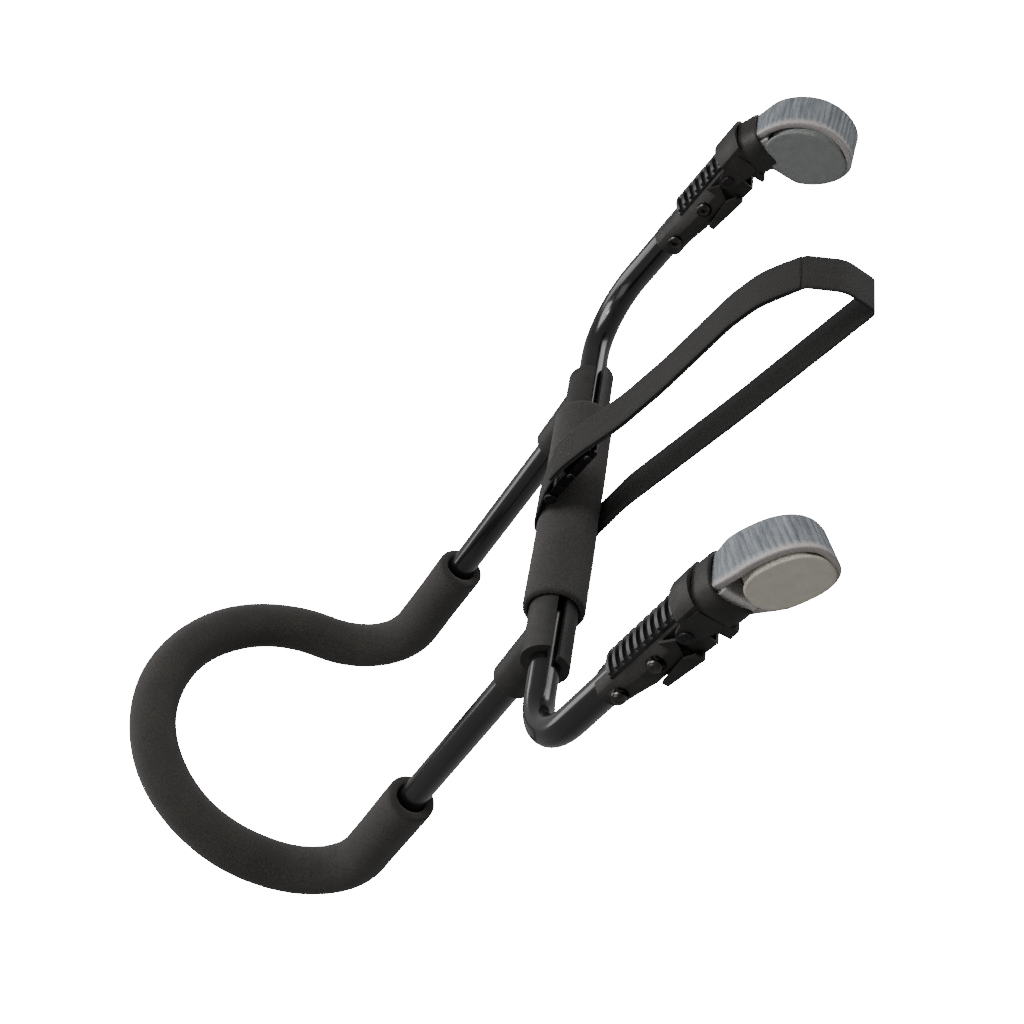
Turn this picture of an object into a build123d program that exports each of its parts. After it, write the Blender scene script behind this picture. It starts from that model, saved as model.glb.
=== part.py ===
from build123d import *
import os
from math import cos, radians, sin, tan

# A tubular ski carrier in millimetres.  +X runs along the crossbar, +Y points along the arms
# to the clamps, +Z is up.  The origin is the middle of the clamp axis, where the roof bar runs.
# The crossbar and both arms are one bent tube.  The two legs and the hoop are another, which
# turns about the crossbar on two tee connectors.

# ---- driving dimensions ----

# bent tubes
tube_od = 22.0
tube_wall = 1.5
crossbar_back = 240.0  # from the clamp axis back to the crossbar
crossbar_rise = 27.0  # from the clamp axis up to the crossbar
arm_spacing = 458.0
arm_bend = 52.0
arm_tube_length = 152.0  # crossbar axis to the tube's end
leg_spacing = 246.0
leg_length = 381.0  # crossbar axis to the corner of the leg bend
leg_droop = 4.0  # degrees below level
leg_bend = 66.0
hoop_turn = 86.3  # degrees that the hoop stands up from the legs
hoop_centre = 67.0  # leg bend corner to the centre of the half round

# foams
hoop_foam_od = 40.0
hoop_foam_start = 228.0
bar_foam_od = 45.0
bar_foam_length = 200.0
foam_grip = 0.2  # gap between foam bore and tube
foam_chamfer = 3.0

# tee connectors
sleeve_od = 35.0
sleeve_inner_end = 86.0
sleeve_outer_end = 146.0
sleeve_lip_end = 152.0
sleeve_slot = 7.0
sleeve_slot_angle = 8.0  # degrees above level
running_gap = 0.05  # radial
leg_socket_od = 33.0
leg_socket_length = 58.0
leg_socket_floor = 19.0
set_screw_od = 5.0
set_screw_length = 5.0
set_screw_angle = 112.0  # degrees round the crossbar from straight forward
set_screw_places = (104.0, 119.0)

# strap and cam buckle
strap_width = 34.0
strap_thick = 1.8
strap_centre = 0.0
strap_gap = 0.4

# arm heads
socket_start = 95.0
socket_neck_od = 28.0
socket_full = 132.0
socket_end = 164.0
head_width = 34.0
crown_drop = 8.0  # centre of the crowned top below the arm axis
socket_crown = 19.0
socket_bottom = 13.0
ladder_base = 1.7
ladder_ridge = 2.5
ladder_pitch = 7.5
ladder_width = 21.0
ladder_gap = 0.3
housing_start = 186.0
floor_end = 201.0
housing_wall = 2.8
housing_low = 21.0
housing_floor_start = 193.5
pivot_s = 179.0
pivot_od = 6.0
lock_s = 194.0
lock_pin_od = 3.0
bolt_od = 6.0
bolt_stations = (108.0, 147.0)
bolt_head_od = 10.5
nut_od = 12.0
cheek_wall = 3.0
lever_wall = 2.0
lever_tip = 138.0

# collar and clamp band
collar_length = 15.0
collar_wall = 3.0
collar_half_height = 18.5
band_width = 33.0
band_thick = 5.0
band_swing = 36.0  # collar's mouth to the middle of the loop
collar_s = 203.0  # middle of the collar's rear face

# the right ladder is drawn up further than the left, so its loop is smaller and hangs less
right_tail = 112.0
right_collar_tilt = 3.0
right_band_droop = 25.0
right_band_long = 34.0
right_band_short = 22.5
left_tail = 128.0
left_collar_tilt = 20.0
left_band_droop = 56.0
left_band_long = 35.0
left_band_short = 27.0


# ---- places worked out from the dimensions ----

tube_r = tube_od / 2
arm_x = arm_spacing / 2
leg_x = leg_spacing / 2
bar_y = -crossbar_back
bar_z = crossbar_rise


def side_plane(x):
    """Plane across X; its x is the distance forward of the crossbar, its y the height."""
    return Plane(origin=(x, bar_y, bar_z), x_dir=(0, 1, 0), z_dir=(1, 0, 0))


def station(s, n=0.0, x=arm_x):
    """Plane across the right arm at s from the crossbar; its x is toward -X, its y up."""
    return Plane(origin=(x, bar_y + s, bar_z + n), x_dir=(-1, 0, 0), z_dir=(0, 1, 0))


def leg_point(x, out, up):
    """A point given along the drooping legs: out from the crossbar, up square to them."""
    droop = radians(leg_droop)
    y = -out * cos(droop) - up * sin(droop)
    z = -out * sin(droop) + up * cos(droop)
    return Vector(x, bar_y + y, bar_z + z)


def lever_top(s):
    """Height of the lever plate's upper face, which falls away toward the pivot."""
    return -socket_bottom - 0.8 - 0.09 * (s - lever_tip)


def save(part, name):
    part.label = name
    export_step(part, f"parts/{name}.step")


def save_pair(part, name):
    """Writes the right-hand piece and its mirror image."""
    save(part, f"right_{name}")
    save(mirror(part, about=Plane.YZ), f"left_{name}")


os.makedirs("parts", exist_ok=True)


# ---- crossbar and arm tube ----

with BuildPart() as arm_tube:
    with BuildLine() as arm_path:
        FilletPolyline(
            (-arm_x, bar_y + arm_tube_length, bar_z),
            (-arm_x, bar_y, bar_z),
            (arm_x, bar_y, bar_z),
            (arm_x, bar_y + arm_tube_length, bar_z),
            radius=arm_bend,
        )
    with BuildSketch(station(arm_tube_length, 0, -arm_x)):
        Circle(tube_r)
        Circle(tube_r - tube_wall, mode=Mode.SUBTRACT)
    sweep(path=arm_path.line)
    for s in bolt_stations:
        with BuildSketch(side_plane(-arm_x - tube_od)):
            with Locations((s, 0)):
                Circle(bolt_od / 2 + running_gap)
        extrude(amount=arm_spacing + 2 * tube_od, mode=Mode.SUBTRACT)
save(arm_tube.part, "arm_tube")


# ---- legs and hoop ----

turn = radians(hoop_turn)
bend_run = leg_bend * tan(turn / 2)


def hoop_point(x, along):
    """A point along the hoop's plane, measured from the corner of the leg bend."""
    return leg_point(x, leg_length + along * cos(turn), along * sin(turn))


def hoop_path(start):
    """Leg, bend, hoop, bend and leg, from start along one leg to start along the other."""
    reach = hoop_centre + leg_x
    for side in (1, -1):
        foot = leg_point(side * leg_x, start, 0)
        corner_in = leg_point(side * leg_x, leg_length - bend_run, 0)
        half = turn / 2
        middle_out = leg_length - bend_run + leg_bend * sin(half)
        middle = leg_point(side * leg_x, middle_out, leg_bend * (1 - cos(half)))
        corner_out = hoop_point(side * leg_x, bend_run)
        Line(foot, corner_in)
        ThreePointArc(corner_in, middle, corner_out)
        Line(corner_out, hoop_point(side * leg_x, hoop_centre))
    ThreePointArc(
        hoop_point(leg_x, hoop_centre), hoop_point(0, reach), hoop_point(-leg_x, hoop_centre)
    )


def leg_section(out, x=leg_x):
    """Plane across a leg, facing outward along it."""
    droop = radians(leg_droop)
    return Plane(
        origin=leg_point(x, out, 0), x_dir=(1, 0, 0), z_dir=(0, -cos(droop), -sin(droop))
    )


with BuildPart() as leg_tube:
    with BuildLine() as leg_path:
        hoop_path(leg_socket_floor + 1)
    with BuildSketch(leg_section(leg_socket_floor + 1)):
        Circle(tube_r)
        Circle(tube_r - tube_wall, mode=Mode.SUBTRACT)
    sweep(path=leg_path.line)
save(leg_tube.part, "leg_tube")

with BuildPart() as hoop_foam:
    with BuildLine() as foam_path:
        hoop_path(hoop_foam_start)
    with BuildSketch(leg_section(hoop_foam_start)):
        Circle(hoop_foam_od / 2)
        Circle(tube_r + foam_grip, mode=Mode.SUBTRACT)
    sweep(path=foam_path.line)
save(hoop_foam.part, "hoop_foam")


# ---- crossbar foam, with its ends opened out over the connector sleeves ----

sleeve_room = sleeve_od / 2 + 0.5
with BuildPart() as bar_foam:
    with BuildSketch(side_plane(-bar_foam_length / 2)):
        Circle(bar_foam_od / 2)
    extrude(amount=bar_foam_length)
    chamfer(bar_foam.edges(), foam_chamfer)
    with BuildSketch(side_plane(-bar_foam_length / 2)):
        Circle(tube_r + foam_grip)
    extrude(amount=bar_foam_length, mode=Mode.SUBTRACT)
    room_depth = bar_foam_length / 2 - sleeve_inner_end + 1
    for start in (-bar_foam_length / 2, bar_foam_length / 2 - room_depth):
        with BuildSketch(side_plane(start)):
            Circle(sleeve_room)
        extrude(amount=room_depth, mode=Mode.SUBTRACT)
save(bar_foam.part, "crossbar_foam")


# ---- tee connectors ----


def set_screw_plane(x, radius=0.0):
    """Plane across a set screw, facing out from the crossbar at the screws' angle."""
    angle = radians(set_screw_angle)
    out = Vector(0, cos(angle), sin(angle))
    return Plane(origin=Vector(x, bar_y, bar_z) + out * radius, x_dir=(1, 0, 0), z_dir=out)


with BuildPart() as connector:
    with BuildSketch(side_plane(sleeve_inner_end)):
        Circle(sleeve_od / 2)
    extrude(amount=sleeve_lip_end - sleeve_inner_end)
    with BuildSketch(leg_section(0)):
        Circle(leg_socket_od / 2)
    extrude(amount=leg_socket_length, taper=1)
    socket_rim = connector.edges().filter_by(GeomType.CIRCLE).sort_by(Axis.Y)[0]
    fillet(socket_rim, 2)
    with BuildSketch(side_plane(sleeve_inner_end - 1)):
        Circle(tube_r + running_gap)
    extrude(amount=sleeve_lip_end - sleeve_inner_end + 2, mode=Mode.SUBTRACT)
    with BuildSketch(leg_section(leg_socket_floor)):
        Circle(tube_r + foam_grip)
    extrude(amount=leg_socket_length, mode=Mode.SUBTRACT)
    with BuildSketch(side_plane(sleeve_inner_end - 1)):
        with Locations(Rotation(0, 0, sleeve_slot_angle)):
            with Locations((sleeve_od / 2, 0)):
                Rectangle(sleeve_od, sleeve_slot)
    extrude(amount=sleeve_lip_end - sleeve_inner_end + 2, mode=Mode.SUBTRACT)
    # the broad shell above the slot stops short of the narrow lip below it
    with BuildSketch(side_plane(sleeve_outer_end)):
        with Locations(Rotation(0, 0, sleeve_slot_angle)):
            with Locations((0, sleeve_od / 2)):
                Rectangle(2 * sleeve_od, sleeve_od)
    extrude(amount=sleeve_lip_end, mode=Mode.SUBTRACT)
    for x in set_screw_places:
        with BuildSketch(set_screw_plane(x)):
            Circle(set_screw_od / 2)
        extrude(amount=sleeve_od, mode=Mode.SUBTRACT)
save_pair(connector.part, "connector")

with BuildPart() as set_screws:
    for x in set_screw_places:
        with BuildSketch(set_screw_plane(x, tube_r + running_gap)):
            Circle(set_screw_od / 2 - running_gap)
        extrude(amount=set_screw_length)
        with BuildSketch(set_screw_plane(x, tube_r + set_screw_length - 2)):
            RegularPolygon(1.4, 6)
        extrude(amount=3, mode=Mode.SUBTRACT)
save_pair(set_screws.part, "set_screws")


# ---- webbing strap: one loop round the crossbar foam, over the cam buckle and out to its fold ----

wrap_r = bar_foam_od / 2 + strap_gap + strap_thick / 2
frame_low = bar_foam_od / 2 + 0.7  # underside of the buckle, clear of the foam
strap_lift = 108.0  # degrees round the foam where the upper run leaves it
strap_leave = 282.0  # degrees round the foam where the lower run leaves it


def wrap_point(angle):
    return (wrap_r * cos(radians(angle)), wrap_r * sin(radians(angle)))


def strap_loop():
    """The middle of the webbing, forward of and above the crossbar."""
    FilletPolyline(
        wrap_point(strap_lift),
        (34, frame_low + 13.3),
        (72, frame_low + 8.4),
        (107, 23.2),
        (150, 18.2),
        (222, 14.5),
        (247, 10),
        (277, -4),
        (290, -26),
        (288.5, -51.5),
        (160, -38.4),
        (40, -23.6),
        wrap_point(strap_leave),
        radius=[100, 150, 150, 300, 100, 60, 6, 20, 4, 500, 100],
    )
    CenterArc((0, 0), wrap_r, strap_lift, strap_leave - strap_lift)


with BuildPart() as strap:
    with BuildSketch(side_plane(strap_centre - strap_width / 2)):
        with BuildLine():
            strap_loop()
        make_face()
        offset(amount=strap_thick / 2)
        with BuildLine() as inner_loop:
            strap_loop()
        inner_face = make_face(inner_loop.edges(), mode=Mode.PRIVATE)
        offset(inner_face, amount=-strap_thick / 2, mode=Mode.SUBTRACT)
    extrude(amount=strap_width)
save(strap.part, "strap")


# ---- cam buckle under the start of the strap's upper run ----

plate_gap = 0.6  # between the webbing's edge and a side plate
plate_thick = 2.0
plate_x = strap_width / 2 + plate_gap
frame_high = frame_low + 6.8
frame_back = 14.0
frame_front = 78.0
rear_bar = (20.0, frame_low + 3.4)
cam_axis = (48.0, frame_low + 3.2)
front_bar = (70.0, frame_low + 3.2)
rear_bar_od = 6.0
cam_pin_od = 4.0
front_bar_od = 4.0
cam_radius = 5.6
bar_head_length = 1.6
cam_half = strap_width / 2 - 2.0

with BuildPart() as buckle_frame:
    for x in (strap_centre - plate_x - plate_thick, strap_centre + plate_x):
        with BuildSketch(side_plane(x)):
            with BuildLine():
                Polyline(
                    (frame_back, frame_low),
                    (frame_front, frame_low),
                    (frame_front, frame_high - 2.5),
                    (front_bar[0], frame_high),
                    (frame_back, frame_high),
                    close=True,
                )
            make_face()
            fillet(vertices(), 2.0)
        extrude(amount=plate_thick)
    with BuildSketch(side_plane(strap_centre - plate_x)):
        with Locations((71.5, frame_low + 0.6)):
            Rectangle(11, 1.2)
    extrude(amount=2 * plate_x)
    for place, od in ((rear_bar, rear_bar_od), (cam_axis, cam_pin_od), (front_bar, front_bar_od)):
        with BuildSketch(side_plane(strap_centre - plate_x - plate_thick)):
            with Locations(place):
                Circle(od / 2 + running_gap)
        extrude(amount=2 * (plate_x + plate_thick), mode=Mode.SUBTRACT)
save(buckle_frame.part, "buckle_frame")


def headed_bar(place, od, head_od):
    """A round bar through both side plates, with a domed head on each end."""
    outside = plate_x + plate_thick + 0.1
    with BuildPart() as bar:
        with BuildSketch(side_plane(strap_centre - outside)):
            with Locations(place):
                Circle(od / 2)
        extrude(amount=2 * outside)
        for x in (strap_centre - outside - bar_head_length, strap_centre + outside):
            with BuildSketch(side_plane(x)):
                with Locations(place):
                    Circle(head_od / 2)
            extrude(amount=bar_head_length)
        ends = bar.edges().filter_by(GeomType.CIRCLE).sort_by(Axis.X)
        fillet([ends[0], ends[-1]], bar_head_length * 0.6)
    return bar.part


save(headed_bar(rear_bar, rear_bar_od, 9.0), "buckle_rear_bar")
save(headed_bar(cam_axis, cam_pin_od, 6.0), "buckle_cam_pin")
save(headed_bar(front_bar, front_bar_od, 6.0), "buckle_front_bar")

with BuildPart() as buckle_cam:
    with BuildSketch(side_plane(strap_centre - cam_half)):
        with Locations(cam_axis):
            Circle(cam_radius - 0.8)
            with PolarLocations(cam_radius - 0.9, 5, start_angle=50, angular_range=100):
                Triangle(c=2.2, B=60, C=60, rotation=-90)
        with BuildLine():
            Polyline(
                (cam_axis[0], cam_axis[1] - 0.6),
                (64.8, cam_axis[1] - 0.6),
                (64.8, cam_axis[1] + 1.6),
                (cam_axis[0], cam_axis[1] + 2.6),
                close=True,
            )
        make_face()
    extrude(amount=2 * cam_half)
    with BuildSketch(side_plane(strap_centre - cam_half)):
        with Locations(cam_axis):
            Circle(cam_pin_od / 2 + running_gap)
    extrude(amount=2 * cam_half, mode=Mode.SUBTRACT)
save(buckle_cam.part, "buckle_cam")


# ---- arm heads: the right one, mirrored for the left ----


def crown_section(radius, half, low, corner=0.0):
    """A section with flat sides and bottom and a crowned top, on a station plane."""
    with Locations((0, -crown_drop)):
        Circle(radius)
    high = radius + 1
    with Locations((0, (low + high) / 2)):
        Rectangle(2 * half, high - low, mode=Mode.INTERSECT)
    if corner:
        fillet(vertices().group_by(Axis.Y)[0], corner)


def bolt_cut(radius, s, start, length):
    """Removes a round hole along X at s, from start beyond the arm's axis."""
    with BuildSketch(side_plane(arm_x + start)) as hole:
        with Locations((s, 0)):
            Circle(radius)
    extrude(hole.sketch, amount=length, mode=Mode.SUBTRACT)


half_head = head_width / 2
floor_half = 12.3
cheek_end = 200.0
pin_gap = pivot_od / 2 + running_gap

with BuildPart() as arm_socket:
    with BuildSketch(station(socket_start)):
        Circle(socket_neck_od / 2)
    with BuildSketch(station(socket_full)):
        crown_section(socket_crown, half_head, -socket_bottom, 5)
    loft()
    with BuildSketch(station(socket_full)):
        crown_section(socket_crown, half_head, -socket_bottom, 5)
    extrude(amount=socket_end - socket_full)
    # the floor that the ladder slides over, and the two cheeks that carry the pivot
    with BuildSketch(station(socket_end)):
        with Locations((0, -crown_drop)):
            Circle(socket_crown)
            Circle(socket_crown - 2.5, mode=Mode.SUBTRACT)
        with Locations((0, 10)):
            Rectangle(2 * floor_half, 20, mode=Mode.INTERSECT)
    extrude(amount=floor_end - socket_end)
    for w in (-floor_half, floor_half - cheek_wall):
        with BuildSketch(side_plane(arm_x + w)):
            with BuildLine():
                Polyline(
                    (socket_end - 2, -12),
                    (184, -12),
                    (cheek_end, -4),
                    (cheek_end, 6),
                    (socket_end - 2, 6),
                    close=True,
                )
            make_face()
        extrude(amount=cheek_wall)
    # three-cornered gussets that point at the pivot
    for w in (-half_head, half_head - 2.0):
        with BuildSketch(side_plane(arm_x + w)):
            with BuildLine():
                Polyline((socket_end - 1, 9), (171.8, 2.5), (socket_end - 1, -10), close=True)
            make_face()
        extrude(amount=2.0)
    with BuildSketch(station(socket_start - 1)):
        Circle(tube_r + foam_grip)
    extrude(amount=arm_tube_length + 1 - socket_start, mode=Mode.SUBTRACT)
    # the flare is dressed back to the crown where the ladder's tail lies on it
    with BuildSketch(station(socket_start)):
        with Locations((0, -crown_drop)):
            Circle(socket_crown + 8)
            Circle(socket_crown, mode=Mode.SUBTRACT)
        with Locations((0, 10)):
            Rectangle(ladder_width + 2, 20, mode=Mode.INTERSECT)
    extrude(amount=socket_full - socket_start, mode=Mode.SUBTRACT)
    # window under the ladder for the two pawls
    with BuildSketch(station(167)):
        with Locations((0, 10)):
            Rectangle(15, 8)
    extrude(amount=31, mode=Mode.SUBTRACT)
    bolt_cut(pin_gap, pivot_s, -half_head, head_width)
    bolt_cut(lock_pin_od / 2 + running_gap, lock_s, -half_head, head_width)
    for s in bolt_stations:
        bolt_cut(bolt_od / 2 + running_gap, s, -half_head - 3, head_width + 6)
    bolt_cut(bolt_head_od / 2 + 1.2, bolt_stations[1], -half_head - 1, 2.6)
    bolt_cut(bolt_head_od / 2 + 1.2, bolt_stations[0], -half_head - 1, 3.6)
    bolt_cut(nut_od / 2 + 0.8, bolt_stations[1], half_head - 1.6, 3)
    bolt_cut(nut_od / 2 + 0.8, bolt_stations[0], half_head - 2.6, 4)
save_pair(arm_socket.part, "arm_socket")


def collar_plane(tilt, forward=0.0):
    """Plane of a collar's rear face moved forward; its x is toward -X, its y up."""
    ahead = Vector(0, cos(radians(tilt)), -sin(radians(tilt)))
    origin = Vector(arm_x, bar_y + collar_s, bar_z - 3.0)
    return Plane(origin=origin + ahead * forward, x_dir=(-1, 0, 0), z_dir=ahead)


def collar(tilt):
    """The ring that closes the housing's front and guides both ends of the band."""
    with BuildPart() as ring:
        with BuildSketch(collar_plane(tilt, 0.3)):
            RectangleRounded(2 * (band_width / 2 + 0.4 + collar_wall), 2 * collar_half_height, 9)
            opening = 2 * (collar_half_height - collar_wall)
            RectangleRounded(band_width + 0.8, opening, 6, mode=Mode.SUBTRACT)
        extrude(amount=collar_length)
        fillet(ring.edges().filter_by(GeomType.CIRCLE).group_by(Axis.Y)[-1], 0.8)
    return ring.part


top_r = socket_crown + 7.6
housing_half = half_head + 0.8
ear_r = 6.5


def housing(tilt):
    """The arch over the ladder, with ears back to the pivot and a floor at its front."""
    inner_half = housing_half - housing_wall
    with BuildPart() as shell:
        with BuildSketch(station(housing_start)):
            crown_section(top_r, housing_half, -10)
        extrude(amount=45)
        with BuildSketch(station(housing_floor_start)):
            with Locations((0, -(housing_low + 6) / 2)):
                Rectangle(2 * housing_half, housing_low - 6)
        extrude(amount=26)
        with BuildSketch(side_plane(arm_x - housing_half)):
            with Locations((pivot_s, 0)):
                Circle(ear_r)
            with BuildLine():
                Polyline(
                    (pivot_s, ear_r),
                    (housing_start + 1, 9),
                    (housing_start + 1, -9),
                    (pivot_s, -ear_r),
                    close=True,
                )
            make_face()
        extrude(amount=2 * housing_half)
        with BuildSketch(station(pivot_s - 8)):
            crown_section(top_r - housing_wall, inner_half, -housing_low + housing_wall)
        extrude(amount=60, mode=Mode.SUBTRACT)
        with BuildSketch(station(pivot_s - 8)):
            with Locations((0, -20)):
                Rectangle(2 * inner_half, 20)
        extrude(amount=housing_floor_start - pivot_s + 8, mode=Mode.SUBTRACT)
        # a flat raised panel on each side
        for w in (-housing_half - 1.2, housing_half):
            with BuildSketch(side_plane(arm_x + w)):
                with Locations((196, -1)):
                    RectangleRounded(12, 19, 2)
            extrude(amount=1.2)
        with BuildSketch(collar_plane(tilt)):
            Rectangle(4 * head_width, 4 * head_width)
        extrude(amount=60, mode=Mode.SUBTRACT)
        bolt_cut(pin_gap, pivot_s, -housing_half, 2 * housing_half)
    return shell.part


save(collar(right_collar_tilt), "right_collar")
save(mirror(collar(left_collar_tilt), about=Plane.YZ), "left_collar")
save(housing(right_collar_tilt), "right_ratchet_housing")
save(mirror(housing(left_collar_tilt), about=Plane.YZ), "left_ratchet_housing")


# ---- ladder strap, its toothed tail lying along the crowned socket ----

ladder_inner = socket_crown + ladder_gap
ladder_end = 202.0


def ladder(tail):
    """The curved strap from its tail's free end to the collar, ridged up to the housing."""
    with BuildPart() as strip:
        for start, end, high in ((tail, ladder_end, ladder_base), *ridges(tail)):
            with BuildSketch(station(start)):
                with Locations((0, -crown_drop)):
                    Circle(ladder_inner + high)
                    Circle(ladder_inner, mode=Mode.SUBTRACT)
                with Locations((0, 10)):
                    Rectangle(ladder_width, 24, mode=Mode.INTERSECT)
            extrude(amount=end - start)
    return strip.part


def ridges(tail):
    """Start, end and height of each ridge, from the tail's end to the collar."""
    count = int((ladder_end - tail - 4) / ladder_pitch)
    high = ladder_base + ladder_ridge
    return [(tail + 2 + i * ladder_pitch, tail + 5 + i * ladder_pitch, high) for i in range(count)]


save(ladder(right_tail), "right_ladder_strap")
save(mirror(ladder(left_tail), about=Plane.YZ), "left_ladder_strap")


# ---- ratchet: lever, pivot, pawls and springs ----

pawl_half = 7.0
arm_inner = floor_half + 0.4
arm_outer = arm_inner + 1.6
skirt_inner = housing_half + 0.4

with BuildPart() as lever:
    for w in (-arm_outer, arm_inner):
        with BuildSketch(side_plane(arm_x + w)):
            with Locations((pivot_s, 0)):
                Circle(6)
            with BuildLine():
                Polyline((173, 0), (185, 0), (183, -19), (166, -17), close=True)
            make_face()
        extrude(amount=arm_outer - arm_inner)
    for half, start, end in ((skirt_inner + lever_wall, lever_tip, 172.0), (arm_outer, 171.0, 183.0)):
        with BuildSketch(side_plane(arm_x - half)):
            with BuildLine():
                Polyline(
                    (start, lever_top(start)),
                    (end, lever_top(end)),
                    (end, lever_top(end) - lever_wall),
                    (start, lever_top(start) - lever_wall),
                    close=True,
                )
            make_face()
        extrude(amount=2 * half)
    for w in (-skirt_inner - lever_wall, skirt_inner):
        with BuildSketch(side_plane(arm_x + w)):
            with BuildLine():
                Polyline(
                    (lever_tip, -11),
                    (164, -8.5),
                    (172, -12),
                    (172, lever_top(172) - lever_wall),
                    (lever_tip, lever_top(lever_tip) - lever_wall),
                    close=True,
                )
            make_face()
        extrude(amount=lever_wall)
    fillet(lever.edges().filter_by(Axis.X).group_by(Axis.Y)[0], 0.8)
    bolt_cut(pivot_od / 2 + 0.02, pivot_s, -half_head, head_width)
save_pair(lever.part, "lever")

with BuildPart() as pivot_pin:
    pin_half = housing_half + 0.15
    with BuildSketch(side_plane(arm_x - pin_half)):
        with Locations((pivot_s, 0)):
            Circle(pivot_od / 2)
    extrude(amount=2 * pin_half)
    for w in (-pin_half - 1.4, pin_half):
        with BuildSketch(side_plane(arm_x + w)):
            with Locations((pivot_s, 0)):
                Circle(4.6)
        extrude(amount=1.4)
    rims = pivot_pin.edges().filter_by(GeomType.CIRCLE).sort_by(Axis.X)
    fillet([rims[0], rims[-1]], 0.8)
save_pair(pivot_pin.part, "lever_pivot_pin")

with BuildPart() as drive_pawl:
    with BuildSketch(side_plane(arm_x - pawl_half)):
        with Locations((pivot_s, 0)):
            Circle(5)
        with BuildLine():
            Polyline(
                (pivot_s - 5, 0),
                (pivot_s - 4.6, 9.0),
                (pivot_s - 2.6, 9.3),
                (pivot_s + 3, 3),
                close=True,
            )
        make_face()
    extrude(amount=2 * pawl_half)
    bolt_cut(pivot_od / 2 + 0.02, pivot_s, -pawl_half, 2 * pawl_half)
save_pair(drive_pawl.part, "drive_pawl")

with BuildPart() as lock_pawl:
    with BuildSketch(side_plane(arm_x - pawl_half)):
        with Locations((lock_s, 0)):
            Circle(3.2)
        with BuildLine():
            Polyline(
                (lock_s - 3, -1),
                (lock_s - 8, 9.0),
                (lock_s - 6, 9.3),
                (lock_s + 2, 2.2),
                close=True,
            )
        make_face()
    extrude(amount=2 * pawl_half)
    bolt_cut(lock_pin_od / 2 + running_gap, lock_s, -pawl_half, 2 * pawl_half)
save_pair(lock_pawl.part, "lock_pawl")

with BuildPart() as lock_pin:
    with BuildSketch(side_plane(arm_x - floor_half)):
        with Locations((lock_s, 0)):
            Circle(lock_pin_od / 2)
    extrude(amount=2 * floor_half)
save_pair(lock_pin.part, "lock_pawl_pin")


def coil(x, place, radius, wire, turns, pitch):
    """A close coil of round wire about a pin along X."""
    foot = side_plane(x).from_local_coords(place)
    with BuildPart() as spring:
        with BuildLine():
            path = Helix(pitch, pitch * turns, radius, center=foot, direction=(1, 0, 0))
        with BuildSketch(Plane(origin=path @ 0, z_dir=path % 0)):
            Circle(wire / 2)
        sweep(path=path, is_frenet=True)
    return spring.part


save_pair(coil(arm_x + 7.6, (lock_s, 0), 2.3, 0.5, 2, 0.6), "lock_pawl_spring")
save_pair(coil(arm_x + 7.7, (pivot_s, 0), 3.9, 0.6, 1.5, 0.7), "lever_spring")
save(coil(strap_centre + cam_half + 0.6, cam_axis, 2.7, 0.6, 2, 0.8), "buckle_spring")


# ---- cross bolts, heads inward, and their domed nuts ----


def seat(s):
    """Distance of a bolt's or nut's seat from the arm's axis."""
    return half_head - 2.6 if s == bolt_stations[0] else half_head - 1.6


with BuildPart() as bolts:
    for s in bolt_stations:
        with BuildSketch(side_plane(arm_x - seat(s) - 0.05)):
            with Locations((s, 0)):
                Circle(bolt_od / 2)
        extrude(amount=2 * seat(s) + 4)
        with BuildSketch(side_plane(arm_x - seat(s) - 0.05)):
            with Locations((s, 0)):
                Circle(bolt_head_od / 2)
        extrude(amount=-3)
        with BuildSketch(side_plane(arm_x - seat(s) - 3.05)):
            with Locations((s, 0)):
                RegularPolygon(2.3, 6)
        extrude(amount=1.8, mode=Mode.SUBTRACT)
    rounds = bolts.edges().filter_by(GeomType.CIRCLE)
    fillet(rounds.filter_by_position(Axis.X, arm_x - 30, arm_x - half_head), 1.6)
save_pair(bolts.part, "cross_bolts")

with BuildPart() as nuts:
    for s in bolt_stations:
        with BuildSketch(side_plane(arm_x + seat(s) + 0.05)):
            with Locations((s, 0)):
                RegularPolygon(nut_od / 2, 6)
        extrude(amount=2.6)
        with BuildSketch(side_plane(arm_x + seat(s) + 2.65)):
            with Locations((s, 0)):
                Circle(nut_od / 2 - 0.9)
        extrude(amount=3.2)
        bolt_cut(bolt_od / 2 + running_gap, s, seat(s), 4.3)
    fillet(nuts.edges().filter_by(GeomType.CIRCLE).sort_by(Axis.X)[-2:], 2.8)
save_pair(nuts.part, "domed_nuts")


# ---- clamp band and its filling pad ----


def band_centre(droop):
    """Middle of the loop, swung down about the collar's mouth."""
    swing = radians(droop)
    return (collar_s + 11 + band_swing * cos(swing), -3 - band_swing * sin(swing))


def collar_block(tilt, low, high, near, far, half):
    """A box given in the collar's frame: up from low to high, forward from near to far."""
    with BuildSketch(collar_plane(tilt, near)) as block:
        with Locations((0, (low + high) / 2)):
            Rectangle(2 * half, high - low)
    return block.sketch, far - near


mouth = collar_length + 0.6
saddle = 4.5


def band_outline(droop, long, short, trim):
    """The loop's oval, trimmed inward, on a side plane."""
    with Locations(Location(band_centre(droop), -droop)):
        Ellipse(long - trim, short - trim)


def saddle_bridge(tilt, droop, long, short):
    """The part of the saddle across the collar's mouth that lies inside the loop."""
    half = band_width / 2
    with BuildPart() as bridge:
        face, length = collar_block(tilt, -15.0, 15.0, mouth, mouth + saddle, half)
        extrude(face, amount=length)
        with BuildSketch(side_plane(arm_x - half)):
            band_outline(droop, long, short, 0.2)
        extrude(amount=band_width, mode=Mode.INTERSECT)
    return bridge.part


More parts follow.
